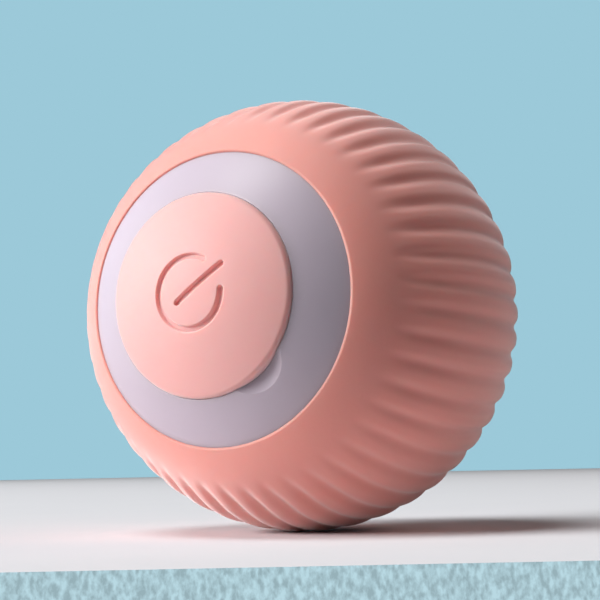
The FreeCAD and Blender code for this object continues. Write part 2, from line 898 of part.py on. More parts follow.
def main_board():
    """Round board behind the rear plate, cut off flat above the cell."""
    body = rod(main_board_radius, board_inner_face, board_face)
    flat = arm_z + arm_radius + board_hole_radius
    far = main_board_radius + overshoot
    body = body.cut(block(-far, far, 0.0, board_face + overshoot, -far, flat))
    for x, z in rear_board_screws:
        body = body.cut(rod(board_hole_radius, board_inner_face - overshoot,
                            board_face + overshoot, x, z))
    return body


def switch_board():
    """Small oblong board behind the front plate, with the switch and two lamps."""
    body = oblong(switch_board_half_length, switch_board_half_height, board_inner_face, board_face)
    for x, z in front_board_screws:
        body = body.cut(rod(board_hole_radius, board_inner_face - overshoot,
                            board_face + overshoot, x, z))
    return flipped(body)


def board_screw(x, z):
    """A small screw with a straight slot, through the +Y board into its boss."""
    tip = plate_face - 2 * overlap
    body = headed_pin(x, z, board_inner_face, tip, board_screw_radius, board_screw_head_radius,
                      board_screw_head_height)
    reach = board_screw_head_radius + overlap
    head_top = board_inner_face - board_screw_head_height
    return body.cut(block(x - reach, x + reach, head_top - overshoot,
                          head_top + board_screw_head_height / 2, z - overlap, z + overlap))


def board_screws():
    screws = [board_screw(x, z) for x, z in rear_board_screws]
    screws += [flipped(board_screw(x, z)) for x, z in front_board_screws]
    return Part.makeCompound(screws)


def switch_body():
    """Square push switch, centred on the ball's axis."""
    front = -board_face - switch_height
    body = block(-switch_half_width, switch_half_width, front, -board_face - small_gap,
                 -switch_half_width, switch_half_width)
    upright = [e for e in body.Edges if abs(e.tangentAt(e.FirstParameter).y) > 0.9]
    body = body.makeChamfer(switch_corner, upright)
    return body.cut(rod(stem_radius + overlap, front - overshoot, front + stem_bore_depth))


def switch_stem():
    return rod(stem_radius, -board_face - stem_reach, -board_face - switch_height + stem_foot_depth)


def lamps():
    """Two lamps on each board, aimed through the plate's windows at the frosted band."""
    pieces = []
    for side in (-1, 1):
        x = side * lamp_x
        lamp = block(x - lamp_half_width, x + lamp_half_width, board_face + small_gap,
                     board_face + lamp_depth, -lamp_half_height, lamp_half_height)
        pieces += [lamp, flipped(lamp)]
    return Part.makeCompound(pieces)


def chip(x, z, half_x, half_z, height):
    """A chip on the inner face of the main board."""
    face = board_inner_face - small_gap
    return block(x - half_x, x + half_x, face - height, face, z - half_z, z + half_z)


def board_chips():
    """Controller, charger, motor driver and coil of the main board."""
    controller = chip(-7.2, 4.2, 1.6, 1.6, 0.8)
    charger = chip(7.0, 4.6, 1.3, 1.3, 0.7)
    driver = chip(7.0, 0.6, 1.1, 1.6, 0.7)
    coil = chip(-7.0, 0.4, 1.3, 1.0, 0.9)
    return Part.makeCompound([controller, charger, driver, coil])


def charging_socket():
    """Metal shell of the charging socket, open at its mouth."""
    start = board_face + small_gap
    half_width = socket_width / 2
    half_height = socket_height / 2
    outer = oblong(half_width, half_height, start, socket_mouth)
    inner = oblong(half_width - socket_wall, half_height - socket_wall,
                   start + socket_back_wall, socket_mouth + overshoot)
    return outer.cut(inner)


def socket_tongue():
    start = board_face + socket_back_wall + 2 * small_gap
    return block(-contact_half_width, contact_half_width, start, socket_mouth - contact_setback,
                 -contact_half_thickness, contact_half_thickness)


def carrier_screws():
    """Four screws through the end plates into the tray's arms."""
    screws = []
    for x in (-arm_x, arm_x):
        screw = pan_screw(x, arm_z, plate_face, carrier_screw_tip)
        screws += [screw, flipped(screw)]
    return Part.makeCompound(screws)


def mount_screws():
    """Two screws through the motor mount into the front plate's posts."""
    tip = -post_bore_floor + overlap
    return Part.makeCompound([pan_screw(x, post_z, mount_back, tip) for x in (-post_x, post_x)])


def lead(points):
    """A round wire along straight runs joined by tangent arcs."""
    points = [FreeCAD.Vector(*p) for p in points]
    edges = []
    here = points[0]
    for index in range(1, len(points) - 1):
        before = points[index - 1] - points[index]
        after = points[index + 1] - points[index]
        half_turn = (math.pi - before.getAngle(after)) / 2
        cut_back = lead_bend_share * min(before.Length, after.Length)
        before.normalize()
        after.normalize()
        start = points[index] + before * cut_back
        end = points[index] + after * cut_back
        bisector = (before + after).normalize()
        radius = cut_back / math.tan(half_turn)
        via = points[index] + bisector * (radius / math.cos(half_turn) - radius)
        edges.append(Part.LineSegment(here, start).toShape())
        edges.append(Part.Arc(start, via, end).toShape())
        here = end
    edges.append(Part.LineSegment(here, points[-1]).toShape())
    path = Part.Wire(edges)
    along = (points[1] - points[0]).normalize()
    section = Part.Wire(Part.Circle(points[0], along, lead_radius).toShape())
    return path.makePipeShell([section], True, False)


def switch_leads():
    """Four wires from the switch board, under the motor, to the main board."""
    face = board_inner_face - small_gap
    wires = []
    for index in range(switch_lead_count):
        x = switch_lead_pitch * (index - (switch_lead_count - 1) / 2)
        route = [(x, -face, switch_lead_end_z), (x, -7.0, switch_lead_end_z),
                 (x, -3.5, switch_lead_low_z), (x, 3.5, switch_lead_low_z),
                 (x, 7.0, switch_lead_end_z), (x, face, switch_lead_end_z)]
        wires.append(lead(route))
    return Part.makeCompound(wires)


def battery_leads():
    """Two wires from the cell's tabs up to the main board."""
    face = board_inner_face - small_gap
    low = cell_top + lead_radius + small_gap
    high = low + battery_lead_rise
    wires = []
    for x in (-battery_lead_x, battery_lead_x):
        wires.append(lead([(x, 3.0, low), (x, 5.4, low), (x, 7.6, high), (x, face, high)]))
    return Part.makeCompound(wires)


PIECES = {
    "silicone_sleeve": silicone_sleeve,
    "front_shell": front_shell,
    "rear_shell": rear_shell,
    "ring_gear": ring_gear,
    "front_bushing": front_bushing,
    "rear_bushing": rear_bushing,
    "button_gasket": button_gasket,
    "power_button": power_button,
    "button_plunger": button_plunger,
    "charging_cover": charging_cover,
    "cover_insert": cover_insert,
    "cover_seal": cover_seal,
    "front_carrier": front_carrier,
    "rear_carrier": rear_carrier,
    "battery_tray": battery_tray,
    "battery_cell": battery_cell,
    "counterweight": counterweight,
    "weight_screws": weight_screws,
    "carrier_screws": carrier_screws,
    "motor_mount": motor_mount,
    "mount_screws": mount_screws,
    "motor_can": motor_can,
    "motor_end_cap": motor_end_cap,
    "motor_terminals": motor_terminals,
    "motor_rotor": motor_rotor,
    "motor_shaft": motor_shaft,
    "motor_pinion": motor_pinion,
    "idler_gear": idler_gear,
    "idler_pin": idler_pin,
    "main_board": main_board,
    "board_chips": board_chips,
    "switch_board": switch_board,
    "switch_body": switch_body,
    "switch_stem": switch_stem,
    "board_screws": board_screws,
    "lamps": lamps,
    "charging_socket": charging_socket,
    "socket_tongue": socket_tongue,
    "switch_leads": switch_leads,
    "battery_leads": battery_leads,
}


def main():
    os.makedirs("parts", exist_ok=True)
    for node, make in PIECES.items():
        shape = make()
        shape.exportStep("parts/" + node + ".step")
        print(node, len(shape.Solids), round(shape.Volume, 2), shape.isValid())


main()
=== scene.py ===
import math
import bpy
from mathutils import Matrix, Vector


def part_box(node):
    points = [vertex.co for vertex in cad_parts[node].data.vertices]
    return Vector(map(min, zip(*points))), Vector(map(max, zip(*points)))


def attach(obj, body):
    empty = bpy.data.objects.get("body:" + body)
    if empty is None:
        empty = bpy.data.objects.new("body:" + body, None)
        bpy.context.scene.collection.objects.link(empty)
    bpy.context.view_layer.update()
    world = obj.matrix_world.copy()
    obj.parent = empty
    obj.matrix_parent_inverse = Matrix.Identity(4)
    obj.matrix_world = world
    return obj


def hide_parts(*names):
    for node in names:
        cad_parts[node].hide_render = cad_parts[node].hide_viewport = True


bl_info = {
    "name": "Self-rolling cat ball",
    "version": (1, 0, 0),
    "blender": (4, 5, 0),
    "location": "3D View > Sidebar > Cat Ball",
    "description": "Builds the finished look of a ribbed, self-rolling cat ball around its frame",
    "category": "Object",
}

import bpy
from mathutils import Euler, Matrix, Vector

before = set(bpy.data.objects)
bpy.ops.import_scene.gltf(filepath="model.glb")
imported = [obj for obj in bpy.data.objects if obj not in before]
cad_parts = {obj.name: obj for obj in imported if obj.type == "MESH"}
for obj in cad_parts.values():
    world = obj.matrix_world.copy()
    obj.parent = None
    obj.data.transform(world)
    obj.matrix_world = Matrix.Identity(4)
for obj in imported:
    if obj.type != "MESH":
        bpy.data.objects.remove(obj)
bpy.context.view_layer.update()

MM = 0.001
TURN = 2 * math.pi
SAME_POINT = 1e-7

# Sizes read from the frame, in metres
CREST_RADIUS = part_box("silicone_sleeve")[1].z
DISC_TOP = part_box("charging_cover")[1].y
DISC_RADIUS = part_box("charging_cover")[1].x
DISC_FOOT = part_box("charging_cover")[0].y
FLOOR_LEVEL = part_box("silicone_sleeve")[0].z

# The photograph's frame, in pixels
PHOTO_SIZE = 600
PHOTO_FOCAL = 1275
BALL_CENTRE_X = 302
BALL_CENTRE_Y = 315.5

# How finely the round pieces are divided
STEPS_PER_RIB = 14
SLEEVE_ROWS = 50
SLEEVE_INNER_ROWS = 8
LIP_ROWS = 12
BUTTON_STEPS = 480
BUTTON_SIGN_ROWS = 96
COVER_STEPS = 240
COVER_FACE_ROWS = 24
DISC_SIDE_ROWS = 24
DISC_RIM_ROWS = 14
DISC_UNDER_ROWS = 12
FLOOR_STEPS = 96

# Small sizes of the sleeve, the discs and the sign, in metres
LIP_FOOT_DEPTH = 0.06 * MM
SKIRT_WALL = 0.55 * MM
SIGN_FIELD_RADIUS = 4.9 * MM
SIGN_FACE_DEPTH = 0.6 * MM
SIGN_EDGE_SOFTNESS = 0.07 * MM

# Each lamp: degrees to the camera's right, degrees up, size in metres, watts and sRGB hex value
LAMPS = {
    "window_light": (-76.0, 20.0, (1.8, 0.9), 82.0, "FFFFFF"),
    "sky_light": (-55.0, 66.0, (1.2, 1.2), 34.0, "FFFFFF"),
    "room_light": (100.0, 38.0, (1.2, 1.2), 7.0, "FFD2BE"),
}
AMBIENT_COLOUR = "F2E4E0"
AMBIENT_STRENGTH = 0.05


# Settings a user would change

class SleeveSettings(bpy.types.PropertyGroup):
    rib_count: bpy.props.IntProperty(
        name="Ribs", description="Meridian ribs round the sleeve", default=48, min=12)
    crest_radius: bpy.props.FloatProperty(
        name="Crest radius", description="Ball radius over the rib crests",
        default=CREST_RADIUS, unit="LENGTH", precision=5)
    valley_depth: bpy.props.FloatProperty(
        name="Valley depth", description="Depth of the valleys between the ribs",
        default=0.37 * MM, unit="LENGTH", precision=5)
    rib_turn: bpy.props.FloatProperty(
        name="Rib turn", description="Angle of the first rib's crest, from +X towards +Z",
        default=math.radians(-1.9), subtype="ANGLE")
    rim_radius: bpy.props.FloatProperty(
        name="Rim radius", description="Ball radius to which the shoulders fall at each window",
        default=21.2 * MM, unit="LENGTH", precision=5)
    shoulder_latitude: bpy.props.FloatProperty(
        name="Shoulder", description="Latitude from which the shoulders fall towards the windows",
        default=math.radians(39.0), subtype="ANGLE")
    inner_radius: bpy.props.FloatProperty(
        name="Inner radius", description="Radius of the sleeve's inner wall",
        default=19.82 * MM, unit="LENGTH", precision=5)
    window_radius: bpy.props.FloatProperty(
        name="Window radius", description="Radius of the round window at each pole",
        default=13.37 * MM, unit="LENGTH", precision=5)
    band_radius: bpy.props.FloatProperty(
        name="Band radius", description="Ball radius of the bands that the lips stand on",
        default=20.95 * MM, unit="LENGTH", precision=5)
    lip_round: bpy.props.FloatProperty(
        name="Lip rounding", description="Radius of the rounded lip round each window",
        default=0.24 * MM, unit="LENGTH", precision=5)
    fade_start: bpy.props.FloatProperty(
        name="Valleys start", description="Latitude at which the valleys begin in the shoulder",
        default=math.radians(41.0), subtype="ANGLE")
    fade_full: bpy.props.FloatProperty(
        name="Valleys full", description="Latitude at which the valleys reach their full depth",
        default=math.radians(28.0), subtype="ANGLE")
    fullness: bpy.props.FloatProperty(
        name="Rib fullness",
        description="0 gives an even wave, 1 gives broad ribs and narrow valleys",
        default=0.85, min=0.0, max=1.0)
    colour: bpy.props.StringProperty(
        name="Silicone colour", description="sRGB hex value of the sleeve", default="ED9A8F")


class DiscSettings(bpy.types.PropertyGroup):
    dome_radius: bpy.props.FloatProperty(
        name="Dome radius", description="Radius of the domed face of the button and cover",
        default=23.5 * MM, unit="LENGTH", precision=5)
    edge_radius: bpy.props.FloatProperty(
        name="Disc radius", description="Radius of the button and cover at their edge",
        default=DISC_RADIUS + 0.08 * MM, unit="LENGTH", precision=5)
    edge_round: bpy.props.FloatProperty(
        name="Edge rounding", description="Radius of the rounded rim",
        default=0.55 * MM, unit="LENGTH", precision=5)
    wall: bpy.props.FloatProperty(
        name="Wall", description="Thickness of the disc's dome",
        default=1.2 * MM, unit="LENGTH", precision=5)
    sign_depth: bpy.props.FloatProperty(
        name="Sign depth", description="Depth of the engraved stand-by sign",
        default=0.35 * MM, unit="LENGTH", precision=5)
    sign_radius: bpy.props.FloatProperty(
        name="Sign radius", description="Radius of the sign's broken circle",
        default=3.2 * MM, unit="LENGTH", precision=5)
    sign_stroke: bpy.props.FloatProperty(
        name="Sign stroke", description="Width of the engraved stroke",
        default=0.5 * MM, unit="LENGTH", precision=5)
    bar_turn: bpy.props.FloatProperty(
        name="Bar turn", description="Direction of the sign's bar, from +X towards +Z",
        default=math.radians(35.5), subtype="ANGLE")
    gap_turn: bpy.props.FloatProperty(
        name="Gap turn", description="Direction of the gap in the circle, from +X towards +Z",
        default=math.radians(32.0), subtype="ANGLE")
    gap_width: bpy.props.FloatProperty(
        name="Gap width", description="Angle that the gap in the circle spans",
        default=math.radians(61.0), subtype="ANGLE")
    bar_low: bpy.props.FloatProperty(
        name="Bar's low end", description="From the sign's middle along the bar",
        default=-1.4 * MM, unit="LENGTH", precision=5)
    bar_high: bpy.props.FloatProperty(
        name="Bar's high end", description="From the sign's middle along the bar",
        default=3.95 * MM, unit="LENGTH", precision=5)
    colour: bpy.props.StringProperty(
        name="Disc colour", description="sRGB hex value of the button and the cover",
        default="EDAFAB")


class BandSettings(bpy.types.PropertyGroup):
    colour: bpy.props.StringProperty(
        name="Band colour", description="sRGB hex value of the frosted half shells",
        default="C3B5C1")


class StageSettings(bpy.types.PropertyGroup):
    azimuth: bpy.props.FloatProperty(
        name="Azimuth", description="Camera's angle round the ball from the button's axis",
        default=math.radians(28.3), subtype="ANGLE")
    elevation: bpy.props.FloatProperty(
        name="Elevation", description="Camera's angle above the ball's centre",
        default=math.radians(-6.9), subtype="ANGLE")
    distance: bpy.props.FloatProperty(
        name="Distance", description="From the camera to the ball's centre",
        default=129 * MM, unit="LENGTH", precision=4)
    roll: bpy.props.FloatProperty(
        name="Roll", description="Camera's turn about its own view",
        default=math.radians(-1.15), subtype="ANGLE")
    lamp_distance: bpy.props.FloatProperty(
        name="Lamp distance", description="From each lamp to the ball's centre",
        default=2.5, unit="LENGTH")
    board_reach: bpy.props.FloatProperty(
        name="Board reach", description="From the ball to the board's round edge",
        default=1.8, unit="LENGTH")
    board_front: bpy.props.FloatProperty(
        name="Board front", description="From the ball's centre to the board's straight front edge",
        default=46.5 * MM, unit="LENGTH", precision=4)
    board_depth: bpy.props.FloatProperty(
        name="Board depth", description="Thickness of the board the ball stands on",
        default=120 * MM, unit="LENGTH", precision=4)
    backdrop: bpy.props.StringProperty(
        name="Backdrop colour", description="sRGB hex value behind the floor", default="9CC9D9")
    floor: bpy.props.StringProperty(
        name="Floor colour", description="sRGB hex value of the floor", default="E1E3E7")
    floor_edge: bpy.props.StringProperty(
        name="Edge colour", description="sRGB hex value of the board's rough edge",
        default="A8C5CE")


# Node helpers

def linear(hex_colour):
    """sRGB hex to the linear values that Blender's sockets take."""
    channels = []
    for start in (0, 2, 4):
        value = int(hex_colour[start:start + 2], 16) / 255
        channels.append(value / 12.92 if value <= 0.04045 else ((value + 0.055) / 1.055) ** 2.4)
    return (*channels, 1.0)


def add_node(tree, kind, values=None, links=None, **settings):
    """One node with its settings, its input values and its input links."""
    node = tree.nodes.new(kind)
    for key, value in settings.items():
        setattr(node, key, value)
    for socket, value in (values or {}).items():
        node.inputs[socket].default_value = value
    for socket, source in (links or {}).items():
        tree.links.new(source, node.inputs[socket])
    return node


def new_material(name):
    material = bpy.data.materials.new(name)
    material.use_nodes = True
    material.node_tree.nodes.clear()
    return material, material.node_tree


def finish_material(material, tree, shader):
    add_node(tree, "ShaderNodeOutputMaterial", links={"Surface": shader.outputs[0]})
    return material


def noise_bump(tree, grain, depth, detail=2.0, strength=1.0):
    """A bump from noise whose grain and depth are real sizes in metres."""
    place = add_node(tree, "ShaderNodeTexCoord")
    noise = add_node(tree, "ShaderNodeTexNoise", {"Scale": 1 / grain, "Detail": detail},
                     {"Vector": place.outputs["Object"]})
    return add_node(tree, "ShaderNodeBump", {"Strength": strength, "Distance": depth},
                    {"Height": noise.outputs["Fac"]})


def mottled(tree, first, second, patch):
    """A colour that wanders between two sRGB values over patches of a real size in metres."""
    place = add_node(tree, "ShaderNodeTexCoord")
    noise = add_node(tree, "ShaderNodeTexNoise", {"Scale": 1 / patch, "Detail": 3.0},
                     {"Vector": place.outputs["Object"]})
    mix = add_node(tree, "ShaderNodeMix", {"A": linear(first), "B": linear(second)},
                   {"Factor": noise.outputs["Fac"]}, data_type="RGBA")
    return mix.outputs["Result"]


def shade(hex_colour, factor):
    """The same colour, lighter or darker."""
    channels = [int(hex_colour[start:start + 2], 16) for start in (0, 2, 4)]
    return "".join("%02X" % max(0, min(255, round(value * factor))) for value in channels)


# Materials

def soft_silicone(name, colour):
    """Moulded silicone rubber with a matt soft-touch skin: a broad pale haze, and warm shades."""
    material, tree = new_material(name)
    base = mottled(tree, shade(colour, 0.985), shade(colour, 1.01), patch=6 * MM)
    bump = noise_bump(tree, grain=0.35 * MM, depth=0.006 * MM)
    shader = add_node(tree, "ShaderNodeBsdfPrincipled", {
        "Roughness": 0.58,
        "IOR": 1.41,
        "Specular IOR Level": 0.6,
        "Subsurface Weight": 0.6,
        "Subsurface Radius": (1.0, 0.32, 0.22),
        "Subsurface Scale": 1.3 * MM,
        "Sheen Weight": 0.7,
        "Sheen Roughness": 0.45,
    }, {"Base Color": base, "Normal": bump.outputs["Normal"]})
    return finish_material(material, tree, shader)


def frosted_polycarbonate(name, colour):
    """Moulded polycarbonate with a frosted face: a soft milky depth and a broad, dim gloss."""
    material, tree = new_material(name)
    base = mottled(tree, shade(colour, 0.985), shade(colour, 1.01), patch=9 * MM)
    bump = noise_bump(tree, grain=0.3 * MM, depth=0.003 * MM)
    shader = add_node(tree, "ShaderNodeBsdfPrincipled", {
        "Roughness": 0.42,
        "IOR": 1.585,
        "Subsurface Weight": 0.6,
        "Subsurface Radius": (0.9, 0.95, 1.0),
        "Subsurface Scale": 2.2 * MM,
        "Specular IOR Level": 0.35,
    }, {"Base Color": base, "Normal": bump.outputs["Normal"]})
    return finish_material(material, tree, shader)


def moulded_plastic(name, colour, roughness, grain):
    """Moulded plastic or rubber from a spark-eroded tool: a fine grain that breaks the gloss."""
    material, tree = new_material(name)
    base = mottled(tree, shade(colour, 0.97), shade(colour, 1.02), patch=5 * MM)
    bump = noise_bump(tree, grain, depth=0.008 * MM)
    shader = add_node(tree, "ShaderNodeBsdfPrincipled",
                      {"Roughness": roughness, "IOR": 1.53},
                      {"Base Color": base, "Normal": bump.outputs["Normal"]})
    return finish_material(material, tree, shader)


def plated_metal(name, colour, roughness, grain):
    """Plated or drawn metal with fine lines left by its working: a gloss drawn out along Y."""
    line_stretch = 0.06
    material, tree = new_material(name)
    place = add_node(tree, "ShaderNodeTexCoord")
    stretch = add_node(tree, "ShaderNodeMapping", {"Scale": (1.0, line_stretch, 1.0)},
                       {"Vector": place.outputs["Object"]})
    noise = add_node(tree, "ShaderNodeTexNoise", {"Scale": 1 / grain, "Detail": 2.0},
                     {"Vector": stretch.outputs["Vector"]})
    rough = add_node(tree, "ShaderNodeMapRange",
                     {"To Min": roughness * 0.85, "To Max": roughness * 1.25},
                     {"Value": noise.outputs["Fac"]})
    bump = add_node(tree, "ShaderNodeBump", {"Distance": 0.003 * MM},
                    {"Height": noise.outputs["Fac"]})
    shader = add_node(tree, "ShaderNodeBsdfPrincipled",
                      {"Base Color": linear(colour), "Metallic": 1.0},
                      {"Roughness": rough.outputs["Result"], "Normal": bump.outputs["Normal"]})
    return finish_material(material, tree, shader)


def solder_mask(name, colour):
    """Glass-epoxy board under a glossy solder mask, with copper tracks faintly raised."""
    track_pitch = 1.1 * MM
    track_edge = 0.42
    material, tree = new_material(name)
    place = add_node(tree, "ShaderNodeTexCoord")
    cells = add_node(tree, "ShaderNodeTexVoronoi", {"Scale": 1 / track_pitch},
                     {"Vector": place.outputs["Object"]}, distance="MANHATTAN")
    tracks = add_node(tree, "ShaderNodeMath", {1: track_edge}, {0: cells.outputs["Distance"]},
                      operation="GREATER_THAN")
    base = add_node(tree, "ShaderNodeMix",
                    {"A": linear(shade(colour, 0.8)), "B": linear(shade(colour, 1.25))},
                    {"Factor": tracks.outputs[0]}, data_type="RGBA")
    bump = add_node(tree, "ShaderNodeBump", {"Distance": 0.03 * MM}, {"Height": tracks.outputs[0]})
    shader = add_node(tree, "ShaderNodeBsdfPrincipled", {"Roughness": 0.3},
                      {"Base Color": base.outputs["Result"], "Normal": bump.outputs["Normal"]})
    return finish_material(material, tree, shader)


def painted_floor(name, colour):
    """A white painted board with faint brush marks."""
    material, tree = new_material(name)
    base = mottled(tree, shade(colour, 0.985), colour, patch=14 * MM)
    bump = noise_bump(tree, grain=1.6 * MM, depth=0.05 * MM, detail=4.0, strength=0.5)
    shader = add_node(tree, "ShaderNodeBsdfPrincipled",
                      {"Roughness": 0.8, "Specular IOR Level": 0.1},
                      {"Base Color": base, "Normal": bump.outputs["Normal"]})
    return finish_material(material, tree, shader)


def rough_plaster(name, colour):
    """Raw plaster with scraped, leaning flakes. The camera sees its colours as written."""
    flake = 0.35 * MM
    material, tree = new_material(name)
    place = add_node(tree, "ShaderNodeTexCoord")
    lean = add_node(tree, "ShaderNodeMapping",
                    {"Rotation": (0.0, 0.35, 0.5), "Scale": (1.0, 1.0, 0.6)},
                    {"Vector": place.outputs["Object"]})
    flakes = add_node(tree, "ShaderNodeTexNoise", {"Scale": 1 / flake, "Detail": 4.0},
                      {"Vector": lean.outputs["Vector"]})
    light = add_node(tree, "ShaderNodeValToRGB", links={"Fac": flakes.outputs["Fac"]})
    light.color_ramp.elements[0].position = 0.35
    light.color_ramp.elements[0].color = linear(shade(colour, 0.9))
    light.color_ramp.elements[1].position = 0.65
    light.color_ramp.elements[1].color = linear(shade(colour, 1.1))
    shown = add_node(tree, "ShaderNodeEmission", links={"Color": light.outputs["Color"]})
    matt = add_node(tree, "ShaderNodeBsdfDiffuse", links={"Color": light.outputs["Color"]})
    path = add_node(tree, "ShaderNodeLightPath")
    mix = add_node(tree, "ShaderNodeMixShader", links={
        0: path.outputs["Is Camera Ray"], 1: matt.outputs[0], 2: shown.outputs[0]})
    return finish_material(material, tree, mix)


# Mesh helpers

def arc_points(centre, radius, start, end, count):
    """Points on an arc in the (r, y) plane, angles counted from +r towards +y."""
    points = []
    for index in range(count + 1):
        angle = start + (end - start) * index / count
        points.append((centre[0] + radius * math.cos(angle), centre[1] + radius * math.sin(angle)))
    return points


def joined(*runs):
    """Runs of points as one outline, with doubled points left out."""
    points = []
    for run in runs:
        for point in run:
            if not points or math.dist(points[-1], point) > SAME_POINT:
                points.append(point)
    if math.dist(points[0], points[-1]) < SAME_POINT:
        points.pop()
    return points


def spun_mesh(name, outline, steps, lift=None):
    """A closed solid from an (r, y) outline turned about Y. lift(point) gives its new place."""
    rows = []
    vertices = []
    for r, y in outline:
        if r < SAME_POINT:
            rows.append([len(vertices)] * steps)
            vertices.append((0.0, y, 0.0))
            continue
        row = []
        for step in range(steps):
            angle = TURN * step / steps
            row.append(len(vertices))
            vertices.append((r * math.cos(angle), y, r * math.sin(angle)))
        rows.append(row)
    faces = []
    for index, row in enumerate(rows):
        following = rows[(index + 1) % len(rows)]
        if row[0] == row[1] and following[0] == following[1]:
            continue
        for step in range(steps):
            after = (step + 1) % steps
            corners = [row[step], row[after], following[after], following[step]]
            face = []
            for corner in corners:
                if corner not in face:
                    face.append(corner)
            faces.append(face)
    if lift:
        vertices = [lift(Vector(v)) for v in vertices]
    mesh = bpy.data.meshes.new(name)
    mesh.from_pydata(vertices, [], faces)
    mesh.update()
    if signed_volume(mesh) < 0:
        mesh.flip_normals()
    mesh.polygons.foreach_set("use_smooth", [True] * len(mesh.polygons))
    mesh.update()
    return mesh


def signed_volume(mesh):
    mesh.calc_loop_triangles()
    total = 0.0
    for triangle in mesh.loop_triangles:
        a, b, c = (mesh.vertices[index].co for index in triangle.vertices)
        total += a.dot(b.cross(c)) / 6
    return total


def new_object(name, mesh, material):
    piece = bpy.data.objects.new(name, mesh)
    bpy.context.scene.collection.objects.link(piece)
    if not mesh.materials:
        mesh.materials.append(material)
    return piece


def dress(node, material):
    """Gives a CAD node its material and leaves its mesh alone."""
    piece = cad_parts[node]
    piece.data.materials.clear()
    piece.data.materials.append(material)


# Sleeve

def sleeve_outline(sizes):
    """The sleeve's wall as an (r, y) outline: smooth outside, rounded lips, inner wall."""
    crest = sizes.crest_radius
    rim = sizes.rim_radius
    start = sizes.shoulder_latitude
    inner = sizes.inner_radius
    lip = sizes.lip_round
    foot_latitude = math.acos(sizes.window_radius / sizes.band_radius)
    rim_latitude = foot_latitude - lip / (rim - lip)
    lean = rim_latitude + math.atan(2 * (crest - rim) / (rim * (rim_latitude - start)))

    def wall_point(latitude):
        fall = max(0.0, (latitude - start) / (rim_latitude - start))
        radius = crest - (crest - rim) * fall * fall
        return (radius * math.cos(latitude), radius * math.sin(latitude))

    upper = [wall_point(rim_latitude * row / SLEEVE_ROWS) for row in range(SLEEVE_ROWS + 1)]
    lip_centre = (upper[-1][0] - lip * math.cos(lean), upper[-1][1] - lip * math.sin(lean))
    upper += arc_points(lip_centre, lip, lean, foot_latitude + math.pi / 2, LIP_ROWS)
    foot = sizes.band_radius - LIP_FOOT_DEPTH
    upper.append((foot * math.cos(foot_latitude), foot * math.sin(foot_latitude)))
    lower = [(r, -y) for r, y in reversed(upper)]
    inner_end = math.acos(upper[-1][0] / inner)
    wall = arc_points((0, 0), inner, inner_end, -inner_end, SLEEVE_INNER_ROWS)
    return joined(upper, wall, lower)


def rib_tree():
    """Geometry nodes that press meridian valleys into a smooth ball and fade them at its poles."""
    tree = bpy.data.node_groups.new("meridian_ribs", "GeometryNodeTree")
    sockets = (
        ("Geometry", "NodeSocketGeometry"),
        ("Rib Count", "NodeSocketInt"),
        ("Rib Turn", "NodeSocketFloat"),
        ("Valley Depth", "NodeSocketFloat"),
        ("Fade Start", "NodeSocketFloat"),
        ("Fade Full", "NodeSocketFloat"),
        ("Fullness", "NodeSocketFloat"),
        ("Skin Radius", "NodeSocketFloat"),
        ("Material", "NodeSocketMaterial"),
    )
    for label, kind in sockets:
        tree.interface.new_socket(label, in_out="INPUT", socket_type=kind)
    tree.interface.new_socket("Geometry", in_out="OUTPUT", socket_type="NodeSocketGeometry")
    given = add_node(tree, "NodeGroupInput").outputs

    def math_node(operation, *terms):
        values = {}
        links = {}
        for index, term in enumerate(terms):
            if isinstance(term, (int, float)):
                values[index] = term
            else:
                links[index] = term
        return add_node(tree, "ShaderNodeMath", values, links, operation=operation).outputs[0]

    position = add_node(tree, "GeometryNodeInputPosition").outputs[0]
    parts = add_node(tree, "ShaderNodeSeparateXYZ", links={0: position}).outputs
    length = add_node(tree, "ShaderNodeVectorMath", links={0: position},
                      operation="LENGTH").outputs["Value"]
    latitude = math_node("ABSOLUTE", math_node("ARCSINE", math_node("DIVIDE", parts["Y"], length)))
    around = math_node("ARCTAN2", parts["Z"], parts["X"])
    turned = math_node("SUBTRACT", around, given["Rib Turn"])
    wave = math_node("COSINE", math_node("MULTIPLY", turned, given["Rib Count"]))
    sunk = math_node("MULTIPLY_ADD", wave, -0.5, 0.5)
    lobe = math_node("SUBTRACT", 1.0, sunk)
    broad = math_node("MULTIPLY", math_node("MULTIPLY", lobe, sunk), given["Fullness"])
    share = math_node("SUBTRACT", sunk, broad)
    fade = add_node(tree, "ShaderNodeMapRange", {"To Min": 0.0, "To Max": 1.0},
                    {"Value": latitude, "From Min": given["Fade Start"],
                     "From Max": given["Fade Full"]},
                    interpolation_type="SMOOTHSTEP").outputs["Result"]
    depth = math_node("MULTIPLY", math_node("MULTIPLY", share, fade), given["Valley Depth"])
    stretch = math_node("SUBTRACT", 1.0, math_node("DIVIDE", depth, length))
    moved = add_node(tree, "ShaderNodeVectorMath", links={0: position, "Scale": stretch},
                     operation="SCALE").outputs[0]
    outside = math_node("GREATER_THAN", length, given["Skin Radius"])
    shaped = add_node(tree, "GeometryNodeSetPosition",
                      links={"Geometry": given["Geometry"], "Selection": outside,
                             "Position": moved})
    real = add_node(tree, "GeometryNodeRealizeInstances", links={0: shaped.outputs[0]})
    painted = add_node(tree, "GeometryNodeSetMaterial",
                       links={"Geometry": real.outputs[0], "Material": given["Material"]})
    add_node(tree, "NodeGroupOutput", links={0: painted.outputs[0]})
    return tree


